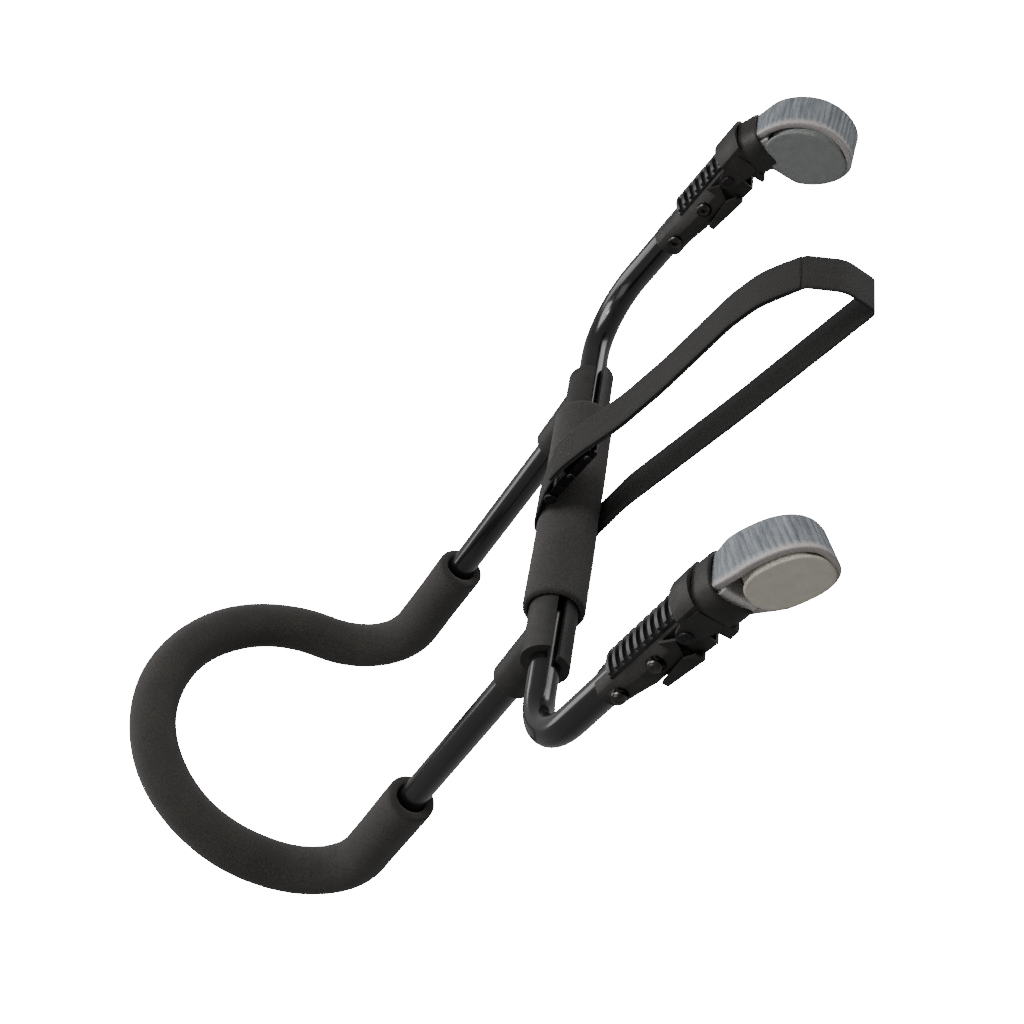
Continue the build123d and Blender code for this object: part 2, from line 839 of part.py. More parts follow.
def clamp_band(tilt, droop, long, short):
    """The rubber loop round the roof bar, with a saddle across the collar's mouth."""
    half = band_width / 2
    bridge = saddle_bridge(tilt, droop, long, short)
    with BuildPart() as loop:
        for trim, mode in ((0, Mode.ADD), (band_thick, Mode.SUBTRACT)):
            with BuildSketch(side_plane(arm_x - half)):
                band_outline(droop, long, short, trim)
            extrude(amount=band_width, mode=mode)
        face, length = collar_block(tilt, -collar_half_height - 0.4, 40, -25, mouth, 30)
        extrude(face, amount=length, mode=Mode.SUBTRACT)
        add(bridge)
        for low, high, near in ((8.5, 14.5, 4.0), (-14.5, -8.5, 4.0), (-14.5, 14.5, mouth)):
            face, length = collar_block(tilt, low, high, near, mouth + 2, half - 3.5)
            extrude(face, amount=length)
    return loop.part


def band_pad(tilt, droop, long, short):
    """The solid pad that fills the loop, cut square where it faces the saddle."""
    half = band_width / 2 + 0.6
    with BuildPart() as pad:
        with BuildSketch(side_plane(arm_x - half)):
            band_outline(droop, long, short, band_thick + 0.4)
        extrude(amount=2 * half)
        face, length = collar_block(tilt, -80, 60, -25, mouth + saddle + 4, 30)
        extrude(face, amount=length, mode=Mode.SUBTRACT)
    return pad.part


right_loop = (right_collar_tilt, right_band_droop, right_band_long, right_band_short)
left_loop = (left_collar_tilt, left_band_droop, left_band_long, left_band_short)
save(clamp_band(*right_loop), "right_clamp_band")
save(mirror(clamp_band(*left_loop), about=Plane.YZ), "left_clamp_band")
save(band_pad(*right_loop), "right_band_pad")
save(mirror(band_pad(*left_loop), about=Plane.YZ), "left_band_pad")
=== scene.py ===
import bpy
import numpy as np
from mathutils import Matrix


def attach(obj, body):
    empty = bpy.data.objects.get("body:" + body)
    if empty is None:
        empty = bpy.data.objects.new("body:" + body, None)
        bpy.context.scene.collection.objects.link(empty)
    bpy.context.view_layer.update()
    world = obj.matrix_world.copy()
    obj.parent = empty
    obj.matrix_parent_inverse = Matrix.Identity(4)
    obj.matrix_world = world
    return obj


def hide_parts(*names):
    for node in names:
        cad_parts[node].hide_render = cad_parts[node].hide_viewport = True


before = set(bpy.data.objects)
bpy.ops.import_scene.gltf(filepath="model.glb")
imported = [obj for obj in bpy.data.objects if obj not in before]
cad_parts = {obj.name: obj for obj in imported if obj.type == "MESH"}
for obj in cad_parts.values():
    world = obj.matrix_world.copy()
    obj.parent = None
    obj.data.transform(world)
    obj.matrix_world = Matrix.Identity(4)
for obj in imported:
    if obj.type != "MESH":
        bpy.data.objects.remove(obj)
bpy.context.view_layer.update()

# Lengths here are in millimetres in the frame's axes: +X along the crossbar, +Y forward to the
# clamps, +Z up.  MM turns them to metres where a mesh, a lamp or the camera is made.
MM = 0.001
CROSSBAR = np.array([0.0, -240.0, 27.0])
TUBE_R = 11.0
X_AXIS = np.array([1.0, 0.0, 0.0])


# ---- camera ----

camera_data = bpy.data.cameras.new("camera")
camera_data.lens = 65.06
camera_data.sensor_width = 36.0
camera_data.clip_end = 100.0
camera = bpy.data.objects.new("camera", camera_data)
bpy.context.collection.objects.link(camera)
camera_right = (-0.13515, 0.51030, -0.84931)
camera_up = (-0.69918, 0.55824, 0.44667)
camera_back = (0.70206, 0.65419, 0.28134)
camera_place = (0.96004, 0.62717, 0.44532)
camera.matrix_world = Matrix(
    [(*row, place) for row, place in zip(zip(camera_right, camera_up, camera_back), camera_place)]
    + [(0, 0, 0, 1)]
)
bpy.context.scene.camera = camera


# ---- colours and shader nodes ----


def linear(code):
    """An sRGB hex code as linear red, green, blue and alpha 1."""
    srgb = np.array([int(code[i : i + 2], 16) for i in (1, 3, 5)]) / 255
    low, high = srgb / 12.92, ((srgb + 0.055) / 1.055) ** 2.4
    return (*np.where(srgb <= 0.04045, low, high).tolist(), 1.0)


def add(owner, kind, settings=None, **values):
    """Adds a node of that kind to a material or the world. settings are its own properties, and
    values are its inputs, by name or as i and a number: a number or colour is set on the socket,
    and another node's output is linked to it."""
    tree = owner.node_tree
    made = tree.nodes.new(kind)
    for key, value in (settings or {}).items():
        setattr(made, key, value)
    for key, value in values.items():
        socket = made.inputs[int(key[1:]) if key[1:].isdigit() else key.replace("_", " ")]
        if isinstance(value, bpy.types.NodeSocket):
            tree.links.new(value, socket)
        else:
            socket.default_value = value
    return made


def shader(name, **values):
    """A new material with its Principled shader, whose sockets take the given values."""
    material = bpy.data.materials.new(name)
    material.use_nodes = True
    principled = material.node_tree.nodes["Principled BSDF"]
    for key, value in values.items():
        principled.inputs[key.replace("_", " ")].default_value = value
    return material, principled


def place(material, kind="Object"):
    """The Object or UV coordinates, in metres on both."""
    return add(material, "ShaderNodeTexCoord").outputs[kind]


def speckle(material, where, grain, detail=2.0):
    """Soft noise whose spots are about grain millimetres across."""
    noise = add(
        material, "ShaderNodeTexNoise",
        Vector=where, Scale=1 / (grain * MM), Detail=detail, Roughness=0.55,
    )
    return noise.outputs["Fac"]


def blend_colours(material, share, first, second, low=0.3, high=0.7):
    """A colour from first to second as share goes from low to high."""
    ramp = add(material, "ShaderNodeValToRGB", Fac=share)
    for stop, position, code in zip(ramp.color_ramp.elements, (low, high), (first, second)):
        stop.position, stop.color = position, linear(code)
    return ramp.outputs["Color"]


def connect(material, output, principled, socket):
    material.node_tree.links.new(output, principled.inputs[socket])


def colour(material, principled, share, first, second, low=0.3, high=0.7):
    """Gives the surface a colour between two, by share."""
    blend = blend_colours(material, share, first, second, low, high)
    connect(material, blend, principled, "Base Color")


def raise_surface(material, principled, height, depth, strength):
    """Bump of depth millimetres from a height of 0 to 1."""
    bump = add(material, "ShaderNodeBump", Height=height, Distance=depth * MM, Strength=strength)
    connect(material, bump.outputs["Normal"], principled, "Normal")


# Powder coat on bent steel tube: a deep black with a thin clear gloss and faint orange peel.
powder_coat, skin = shader(
    "black_powder_coated_steel", Roughness=0.22, IOR=1.5, Coat_Weight=0.5, Coat_Roughness=0.1
)
at = place(powder_coat)
colour(powder_coat, skin, speckle(powder_coat, at, 30), "#060607", "#0c0c0d")
raise_surface(powder_coat, skin, speckle(powder_coat, at, 2.2), 0.03, 0.5)

# Closed-cell neoprene foam sleeve: warm charcoal, fully matt, with small open cells on its
# skin.  The cells are drawn at 1.1 mm, coarser than the real ones, so that they show.
CELL = 1.1
foam, skin = shader(
    "closed_cell_neoprene_foam", Roughness=0.93, IOR=1.45, Sheen_Weight=0.12, Sheen_Roughness=0.6
)
at = place(foam)
patches = blend_colours(foam, speckle(foam, at, 28, 3), "#272321", "#312c28")
cells = add(foam, "ShaderNodeTexVoronoi", Vector=at, Scale=1 / (CELL * MM), Randomness=1.0)
pits = add(foam, "ShaderNodeMath", {"operation": "MULTIPLY"}, i0=cells.outputs["Distance"], i1=0.5)
shades = blend_colours(foam, speckle(foam, at, 1.6), "#b0b0b0", "#ffffff")
dark = add(
    foam, "ShaderNodeMix", {"data_type": "RGBA", "blend_type": "MULTIPLY"},
    i0=1.0, i6=patches, i7=shades,
)
connect(foam, dark.outputs[2], skin, "Base Color")
raise_surface(foam, skin, pits.outputs[0], 0.25, 0.6)

# Black polyester webbing in a herringbone: ribs 1.7 mm apart that lean one way and then the
# other every 5.6 mm across the width, with a painted highlight on their crowns and painted shade in
# their grooves.
WEAVE_RIB, WEAVE_TURN = 1.7, 5.6
webbing, skin = shader(
    "black_polyester_webbing",
    Roughness=0.8, IOR=1.5, Specular_IOR_Level=0.3, Sheen_Weight=0.08, Sheen_Roughness=0.5,
)
at = place(webbing, "UV")
parts = add(webbing, "ShaderNodeSeparateXYZ", Vector=at)
turned = add(
    webbing, "ShaderNodeMath", {"operation": "PINGPONG"}, i0=parts.outputs["Y"], i1=WEAVE_TURN * MM
)
lean = add(
    webbing, "ShaderNodeMath", {"operation": "ADD"}, i0=parts.outputs["X"], i1=turned.outputs[0]
)
phase = add(
    webbing, "ShaderNodeMath", {"operation": "MULTIPLY"},
    i0=lean.outputs[0], i1=2 * np.pi / (WEAVE_RIB * MM),
)
rib = add(webbing, "ShaderNodeMath", {"operation": "SINE"}, i0=phase.outputs[0])
rib = add(webbing, "ShaderNodeMath", {"operation": "MULTIPLY_ADD"}, i0=rib.outputs[0], i1=0.5, i2=0.5)
fuzz = speckle(webbing, at, 0.9)
# The rib wave in the base colour is painted shade in the grooves and a painted highlight on the
# crowns, and the fuzz adds random tone.
painted_rib_shade_and_fuzz = add(
    webbing, "ShaderNodeMath", {"operation": "MULTIPLY_ADD"}, i0=fuzz, i1=0.6, i2=rib.outputs[0]
)
colour(webbing, skin, painted_rib_shade_and_fuzz.outputs[0], "#0c0b0b", "#1f1d1b", 0.25, 1.3)
raise_surface(webbing, skin, rib.outputs[0], 0.16, 0.7)

# Bonded polyester thread, slightly lighter and shinier than the webbing it closes.
thread, skin = shader("bonded_polyester_thread", Roughness=0.5, IOR=1.5)
colour(thread, skin, speckle(thread, place(thread), 1.0), "#2b2926", "#3c3935")

# Glass-filled nylon as moulded: near black, with a fine spark-eroded grain and a dull sheen.
nylon, skin = shader("black_glass_filled_nylon", Roughness=0.55, IOR=1.53, Specular_IOR_Level=0.35)
at = place(nylon)
colour(nylon, skin, speckle(nylon, at, 14, 3), "#1a1918", "#292725")
gloss = add(nylon, "ShaderNodeMapRange", Value=speckle(nylon, at, 9), To_Min=0.45, To_Max=0.68)
connect(nylon, gloss.outputs[0], skin, "Roughness")
raise_surface(nylon, skin, speckle(nylon, at, 0.7), 0.06, 0.5)

# Unfilled nylon of the ladder straps: smoother and blacker than the housings.
ladder_nylon, skin = shader("black_unfilled_nylon", Roughness=0.36, IOR=1.53)
at = place(ladder_nylon)
colour(ladder_nylon, skin, speckle(ladder_nylon, at, 8), "#0f0f0f", "#191918")
raise_surface(ladder_nylon, skin, speckle(ladder_nylon, at, 1.2), 0.03, 0.4)

# Extruded grey rubber of the loops: streaked light and dark across its ribs, with a pale lip
# painted from LIP_START to LIP_FULL across the band as a highlight along its +X edge.
LIP_START, LIP_FULL = 26.0, 31.0
band_rubber, skin = shader("grey_ribbed_epdm_rubber", Roughness=0.62, IOR=1.52)
at = place(band_rubber, "UV")
parts = add(band_rubber, "ShaderNodeSeparateXYZ", Vector=at)
streak = add(band_rubber, "ShaderNodeMapping", Vector=at, Scale=(1.0, 0.12, 1.0))
streaks = speckle(band_rubber, streak.outputs[0], 3.5, 3)
tone = blend_colours(band_rubber, streaks, "#4f545a", "#80858a")
edge = add(
    band_rubber, "ShaderNodeMapRange",
    Value=parts.outputs["Y"], From_Min=LIP_START * MM, From_Max=LIP_FULL * MM,
)
# Painted highlight: the band's colour is paled towards its +X edge.
painted_highlight_lip = add(
    band_rubber, "ShaderNodeMix", {"data_type": "RGBA"},
    i0=edge.outputs[0], i6=tone, i7=linear("#9c9896"),
)
connect(band_rubber, painted_highlight_lip.outputs[2], skin, "Base Color")
raise_surface(band_rubber, skin, speckle(band_rubber, at, 0.8), 0.05, 0.5)


def rubber(name, low, high):
    """Grey moulded rubber, matt with faint pale bloom in patches and a dusty fine grain."""
    material, principled = shader(name, Roughness=0.66, IOR=1.52)
    where = place(material)
    colour(material, principled, speckle(material, where, 7, 4), low, high)
    raise_surface(material, principled, speckle(material, where, 0.8), 0.05, 0.5)
    return material


# The right pad is a warmer and paler grey than the left, and the saddles are palest.
right_pad_rubber = rubber("warm_grey_sponge_rubber", "#b6b2a6", "#bebaae")
left_pad_rubber = rubber("cool_grey_sponge_rubber", "#717573", "#797c7a")
saddle_rubber = rubber("pale_grey_rubber", "#a09d9c", "#b6b3b2")


def metal(name, low, high, rough_low, rough_high, grain):
    """Bare or plated metal: its colour and polish vary a little with handling."""
    material, principled = shader(name, Metallic=1.0)
    where = place(material)
    spots = speckle(material, where, grain, 3)
    colour(material, principled, spots, low, high)
    polish = add(material, "ShaderNodeMapRange", Value=spots, To_Min=rough_low, To_Max=rough_high)
    connect(material, polish.outputs[0], principled, "Roughness")
    raise_surface(material, principled, speckle(material, where, 0.6), 0.02, 0.4)
    return material


# Black nickel on the bolts and domed nuts gives a dark, sharp shine.  Black oxide on pins and
# springs is duller, and black zinc on pressed parts duller still.
nickel_steel = metal("black_nickel_plated_steel", "#3c3a39", "#5f5c58", 0.16, 0.32, 3)
oxide_steel = metal("black_oxide_steel", "#2c2a2b", "#454243", 0.3, 0.5, 3)
zinc = metal("black_zinc_plated_steel", "#262425", "#3b3838", 0.32, 0.5, 4)


# ---- meshes from grids of points ----


def grid_piece(name, points, material, body, loop_u=False, capped=False, spans=None):
    """A smooth piece over a grid of points, in millimetres.

    The grid's first index runs along the piece, which may close on itself, and its second round
    the section, which does. capped closes both ends with a fan about the end ring's middle.
    spans are the lengths along and round, one more than the faces each way, which the UV map
    holds in metres. Faces are turned outward by the sign of the volume that they enclose."""
    count_u, count_v = points.shape[:2]
    steps_u = count_u if loop_u else count_u - 1
    i, j = np.meshgrid(np.arange(steps_u), np.arange(count_v), indexing="ij")
    corners = [(i, j), (i + 1, j), (i + 1, j + 1), (i, j + 1)]
    faces = np.stack([(a % count_u) * count_v + b % count_v for a, b in corners], -1).reshape(-1, 4)
    vertices = points.reshape(-1, 3)
    flat_uv = None
    if spans is not None:
        corner_uv = [np.stack([spans[0][a], spans[1][b]], -1) for a, b in corners]
        flat_uv = np.stack(corner_uv, 2).reshape(-1, 2)
    first, second, third, fourth = (vertices[faces[:, k]] for k in range(4))
    volume = (first * np.cross(second, third)).sum() + (first * np.cross(third, fourth)).sum()
    ends = np.zeros((0, 3), int)
    if capped:
        middles = np.stack([points[0].mean(0), points[-1].mean(0)])
        ring = np.arange(count_v)
        after = (ring + 1) % count_v
        last = (count_u - 1) * count_v
        near = np.stack([ring, after, np.full(count_v, len(vertices))], -1)
        far = np.stack([last + after, last + ring, np.full(count_v, len(vertices) + 1)], -1)
        ends = np.concatenate([near, far])
        vertices = np.concatenate([vertices, middles])
        a, b, c = (vertices[ends[:, k]] for k in range(3))
        volume += (a * np.cross(b, c)).sum()
    if volume < 0:
        faces, ends = faces[:, ::-1], ends[:, ::-1]
        if flat_uv is not None:
            flat_uv = flat_uv.reshape(-1, 4, 2)[:, ::-1].reshape(-1, 2)
    mesh = bpy.data.meshes.new(name)
    mesh.from_pydata((vertices * MM).tolist(), [], faces.tolist() + ends.tolist())
    mesh.shade_smooth()
    if flat_uv is not None:
        layer = mesh.uv_layers.new(name="surface")
        whole = np.concatenate([flat_uv * MM, np.zeros((3 * len(ends), 2))])
        layer.data.foreach_set("uv", whole.astype(np.float32).ravel())
    return finish_piece(name, mesh, material, body)


def finish_piece(name, mesh, material, body):
    """Makes the object for a mesh that already lies in its place."""
    mesh.materials.append(material)
    piece = bpy.data.objects.new(name, mesh)
    bpy.context.collection.objects.link(piece)
    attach(piece, body)
    return piece


def lengths_along(line):
    """Distance from the line's start to each of its points."""
    steps = np.linalg.norm(np.diff(line, axis=0), axis=1)
    return np.concatenate([[0.0], np.cumsum(steps)])


def unit(vectors):
    return vectors / np.linalg.norm(vectors, axis=-1, keepdims=True)


def left_of(ahead):
    """The directions a quarter turn to the left of flat directions."""
    return np.stack([-ahead[:, 1], ahead[:, 0]], 1)


def at_places(places, along, values):
    """Each column of values, given at the distances along, read at the places."""
    return np.stack([np.interp(places, along, column) for column in values.T], 1)


def rounded_line(corners, radii, step):
    """A flat line through corners, each replaced by the arc of its radius that touches both of
    its straight runs, sampled about every step along."""
    corners = np.array(corners, float)
    made = [corners[:1]]
    for k, radius in enumerate(radii, start=1):
        into, out = unit(corners[k] - corners[k - 1]), unit(corners[k + 1] - corners[k])
        turn = np.arctan2(into[0] * out[1] - into[1] * out[0], into @ out)
        trim = radius * np.tan(abs(turn) / 2)
        start = corners[k] - into * trim
        side = np.sign(turn) * np.array([-into[1], into[0]])
        swept = np.linspace(0, abs(turn), max(3, int(radius * abs(turn) / step) + 2))[:, None]
        made.append(start + radius * (np.sin(swept) * into + (1 - np.cos(swept)) * side))
    made.append(corners[-1:])
    line = np.concatenate(made)
    along = lengths_along(line)
    even = np.union1d(along, np.arange(0, along[-1], step))
    return at_places(even, along, line)


def side_points(line, x):
    """Points given as forward of and above the crossbar, put at x."""
    line = np.asarray(line)
    x = np.broadcast_to(x, line.shape[:-1])
    return np.stack([x, line[..., 0] + CROSSBAR[1], line[..., 1] + CROSSBAR[2]], -1)


# ---- foam sleeves ----

SLEEVE_SIDES = 56


def sleeve(name, line, normals, profile, ripple, body):
    """A foam sleeve on a tube: a closed profile of (distance along, radius) carried round the
    tube's line, so each ring lies square to the line at its distance.

    A point is the line's point plus radius times (cosine of the angle round times the normal
    plus sine times the binormal). ripple gives the radius's change from the distances and
    angles as arrays."""
    along = lengths_along(line)
    distance, radius = profile[:, 0], profile[:, 1]
    tangents = unit(np.gradient(line, axis=0))
    binormals = np.cross(tangents, normals)
    centre = at_places(distance, along, line)
    normal, binormal = (unit(at_places(distance, along, v))[:, None] for v in (normals, binormals))
    angle = np.linspace(0, 2 * np.pi, SLEEVE_SIDES, endpoint=False)
    reach = (radius[:, None] + ripple(distance[:, None], angle[None, :], radius[:, None]))[..., None]
    round_it = np.cos(angle)[None, :, None] * normal + np.sin(angle)[None, :, None] * binormal
    return grid_piece(name, centre[:, None] + reach * round_it, foam, body, loop_u=True)


def sleeve_profile(length, outer, bore, mouth, mouth_depth, edge, step):
    """Out along the sleeve's skin and back along its bore, with rounded ends and opened mouths.

    The rounded edge is a quarter circle of radius edge, and the end face is dished by 0.8."""
    turn = np.linspace(0, np.pi / 2, 6)
    start_edge = np.stack([edge - edge * np.cos(turn), outer - edge + edge * np.sin(turn)], 1)
    skin = np.arange(edge + step, length - edge - step / 2, step)
    skin = np.stack([skin, np.full(len(skin), outer)], 1)
    end_edge = start_edge[::-1] * [-1, 1] + [length, 0]
    dish = 0.8
    hole_in = np.array([
        (length, (outer - edge + mouth) / 2),
        (length - dish, mouth + 0.3),
        (length - 1.5, mouth),
        (length - mouth_depth, mouth),
        (length - mouth_depth - 1, bore),
    ])
    hole_out = hole_in[::-1] * [-1, 1] + [length, 0]
    inside = np.arange(length - mouth_depth - 1 - 2 * step, mouth_depth + 1 + step, -2 * step)
    inside = np.stack([inside, np.full(len(inside), bore)], 1)
    return np.concatenate([start_edge, skin, end_edge, hole_in, inside, hole_out])


LEG_X, LEG_LENGTH, LEG_BEND, HOOP_CENTRE = 123.0, 381.0, 66.0, 67.0
DROOP, HOOP_TURN = np.radians(4.0), np.radians(86.3)
FOAM_START, FOAM_R = 228.0, 20.0
BORE_GAP = 0.25


def leg_points(x, out, up):
    """Points out along the drooping legs and up square to them."""
    forward = -out * np.cos(DROOP) - up * np.sin(DROOP)
    high = -out * np.sin(DROOP) + up * np.cos(DROOP)
    return np.stack([x + 0 * forward, forward + CROSSBAR[1], high + CROSSBAR[2]], -1)


def hoop_line():
    """The tube's line under the hoop foam, and a normal at each point.

    One side runs out along the leg, round the bend by its turn, straight to the hoop's centre
    line and a quarter of the half round. The other side is its mirror image. On the leg and the
    bend the normal is X crossed with the tangent, which is also the hoop plane's normal."""
    run = LEG_BEND * np.tan(HOOP_TURN / 2)
    out = np.linspace(FOAM_START, LEG_LENGTH - run, 30)
    leg = np.stack([out, 0 * out], 1)
    swept = np.linspace(0, HOOP_TURN, 40)[1:]
    bend = np.stack([LEG_LENGTH - run + LEG_BEND * np.sin(swept), LEG_BEND * (1 - np.cos(swept))], 1)
    rise = np.linspace(run, HOOP_CENTRE, 6)[1:]
    quarter = np.linspace(0, np.pi / 2, 60)[1:]
    rest = np.concatenate([rise, HOOP_CENTRE + LEG_X * np.sin(quarter)])
    hoop = np.stack([LEG_LENGTH + rest * np.cos(HOOP_TURN), rest * np.sin(HOOP_TURN)], 1)
    flat = np.concatenate([leg, bend, hoop])
    x = np.concatenate([np.full(len(flat) - len(quarter), LEG_X), LEG_X * np.cos(quarter)])
    half = leg_points(x, flat[:, 0], flat[:, 1])
    outward = np.gradient(half, axis=0) * [0, 1, 1]
    foot, rise_end = leg_points(
        np.zeros(2), np.array([0, np.cos(HOOP_TURN)]), np.array([0, np.sin(HOOP_TURN)])
    )
    outward[-len(rest) :] = rise_end - foot
    normals = unit(np.cross(X_AXIS, outward))
    flip = np.array([-1, 1, 1])
    path = np.concatenate([half, half[-2::-1] * flip])
    return path, np.concatenate([normals, normals[-2::-1] * flip])


hoop_path, hoop_normals = hoop_line()
hoop_length = lengths_along(hoop_path)[-1]
bend_middle = LEG_LENGTH - FOAM_START - LEG_BEND * np.tan(HOOP_TURN / 2) + LEG_BEND * HOOP_TURN / 2


def hoop_ripple(distance, angle, radius):
    """Shallow folds where the bends squeeze the foam: a wave 11 long on the inside of each
    bend, fading over 30 to either side, and a slow unevenness of the skin everywhere."""
    on_skin = radius > FOAM_R - 4
    from_end = np.minimum(distance, hoop_length - distance)
    squeeze = np.exp(-(((from_end - bend_middle) / 30) ** 2)) * np.clip(-np.cos(angle), 0, 1) ** 2
    folds = 0.3 * squeeze * np.sin(2 * np.pi * from_end / 11)
    uneven = 0.16 * np.sin(distance / 17 + 2 * angle) + 0.12 * np.sin(distance / 41 - angle)
    return on_skin * (folds + uneven)


hoop_profile = sleeve_profile(
    hoop_length, FOAM_R - 0.25, TUBE_R + BORE_GAP, mouth=12.4, mouth_depth=7, edge=3.2, step=3.5
)
hoop_foam = sleeve("hoop_foam_sleeve", hoop_path, hoop_normals, hoop_profile, hoop_ripple, "legs")
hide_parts("hoop_foam")

BAR_FOAM_HALF, BAR_FOAM_R = 100.0, 22.5
STRAP_HALF = 17.0


def bar_ripple(distance, angle, radius):
    """The strap's band presses the skin in by 0.5, rounded off over 5 to either side."""
    on_skin = radius > BAR_FOAM_R - 3
    x = distance - BAR_FOAM_HALF
    press = 1 / (1 + np.exp((np.abs(x) - STRAP_HALF - 2) / 1.2))
    return on_skin * (0.1 * np.sin(x / 13 + 3 * angle) - 0.5 * press - 0.1)


bar_line = np.linspace((-BAR_FOAM_HALF, *CROSSBAR[1:]), (BAR_FOAM_HALF, *CROSSBAR[1:]), 81)
bar_normals = np.tile([0.0, 0.0, 1.0], (81, 1))
bar_profile = sleeve_profile(
    2 * BAR_FOAM_HALF, BAR_FOAM_R, TUBE_R + BORE_GAP, mouth=18.1, mouth_depth=15, edge=2.6, step=2.5
)
bar_foam = sleeve("crossbar_foam_sleeve", bar_line, bar_normals, bar_profile, bar_ripple, "carrier")
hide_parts("crossbar_foam")


# ---- strap ----

WRAP_R = BAR_FOAM_R + 1.3
STRAP_LIFT, STRAP_LEAVE = np.radians(108), np.radians(282)
STRAP_THICK = 1.8


def wrap_points(angle):
    return WRAP_R * np.stack([np.cos(angle), np.sin(angle)], -1)


strap_corners = [
    wrap_points(STRAP_LIFT), (34, 36.5), (72, 31.6), (107, 23.2), (150, 18.2), (222, 14.5), (247, 10),
    (277, -4), (290, -26), (288.5, -51.5), (160, -38.4), (40, -23.6), wrap_points(STRAP_LEAVE),
]
strap_run = rounded_line(strap_corners, [100, 150, 150, 300, 100, 60, 6, 20, 4, 500, 100], 1.5)
strap_wrap = wrap_points(np.linspace(STRAP_LEAVE, STRAP_LIFT, 60))[1:-1]
strap_line = np.concatenate([strap_run, strap_wrap])


def ribbon_section(half, thick):
    """A webbing's section as (across, off): flat faces whose selvedges round off."""
    selvedge = 0.9
    across = np.linspace(-half + selvedge, half - selvedge, 15)
    top = np.stack([across, np.full(15, thick / 2)], 1)
    turn = np.linspace(np.pi / 2, -np.pi / 2, 5)[1:-1]
    edge = np.stack([half - selvedge + selvedge * np.cos(turn), thick / 2 * np.sin(turn)], 1)
    return np.concatenate([top, edge, top[::-1] * [1, -1], edge * [-1, -1]])


def ribbon(name, line, closed, half, thick):
    """Webbing along a flat line: a point is the line's point at x plus the section's offset
    along the line's normal, and its skew moves the band sideways along its length."""
    section = ribbon_section(half, thick)
    whole = np.concatenate([line, line[:1]]) if closed else line
    steps = np.roll(line, -1, 0) - np.roll(line, 1, 0) if closed else np.gradient(line, axis=0)
    flat = line[:, None] + left_of(unit(steps))[:, None] * section[None, :, 1:]
    points = side_points(flat, section[None, :, 0] + strap_skew(line)[:, None])
    spans = (lengths_along(whole), np.append(section[:, 0], section[0, 0]) + half)
    return grid_piece(
        name, points, webbing, "carrier", loop_u=closed, capped=not closed, spans=spans
    )


def strap_skew(line):
    """The lower run drifts to -X by up to 5 as it nears the foam, the fold to +X by 1, and the
    upper run bulges to +X by 2.5 over the buckle."""
    low = np.clip(-line[:, 1] / 25, 0, 1)
    near = np.clip((290 - line[:, 0]) / 290, 0, 1)
    over_buckle = np.exp(-(((line[:, 0] - 70) / 40) ** 2)) * np.clip(line[:, 1] / 20, 0, 1)
    return -5.0 * low * near + 1.0 * low * (1 - near) + 2.5 * over_buckle


strap = ribbon("webbing_strap", strap_line, True, STRAP_HALF, STRAP_THICK)
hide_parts("strap")

# The top ply runs from the buckle to the fold, where it dips into the ply under it.
LAP_START, LAP_END, LAP_DIP = 33, 275, 14
LAP_HALF = STRAP_HALF - 0.3
forward_of_bar, above_bar = strap_run.T
lap_part = strap_run[(forward_of_bar > LAP_START) & (forward_of_bar < LAP_END) & (above_bar > -5)]
lap_lift = 0.55 + 0.5 * np.clip((LAP_END - lap_part[:, :1]) / LAP_DIP, 0, 1)
lap_line = lap_part + left_of(unit(np.gradient(lap_part, axis=0))) * STRAP_THICK * lap_lift
lap = ribbon("strap_top_ply", lap_line, False, LAP_HALF, STRAP_THICK - 0.1)


def stitches(name, centres, along, across, up):
    """Stitches as small beads: each is an ellipsoid about its centre with half lengths 1.3
    along, 0.45 across and 0.35 up, cut into rings and sides, and flat at both poles."""
    rings, sides = 6, 8
    pole = np.linspace(0.12, np.pi - 0.12, rings)[:, None]
    spin = np.linspace(0, 2 * np.pi, sides, endpoint=False)
    bead = np.stack(
        np.broadcast_arrays(
            1.3 * np.cos(pole), 0.45 * np.sin(pole) * np.cos(spin), 0.35 * np.sin(pole) * np.sin(spin)
        ), -1,
    ).reshape(-1, 3)
    vertices = centres[:, None] + np.einsum("kj,njx->nkx", bead, np.stack([along, across, up], 1))
    i, j = np.meshgrid(np.arange(rings - 1), np.arange(sides), indexing="ij")
    after = (j + 1) % sides
    quads = np.stack(
        [(i + 1) * sides + j, (i + 1) * sides + after, i * sides + after, i * sides + j], -1
    ).reshape(-1, 4)
    last = (rings - 1) * sides
    ends = np.stack([np.arange(sides), np.arange(last + sides - 1, last - 1, -1)])
    shift = (np.arange(len(centres)) * rings * sides)[:, None, None]
    faces = (quads[None] + shift).reshape(-1, 4).tolist()
    faces += (ends[None] + shift).reshape(-1, sides).tolist()
    mesh = bpy.data.meshes.new(name)
    mesh.from_pydata((vertices.reshape(-1, 3) * MM).tolist(), [], faces)
    mesh.shade_smooth()
    return finish_piece(name, mesh, thread, "carrier")


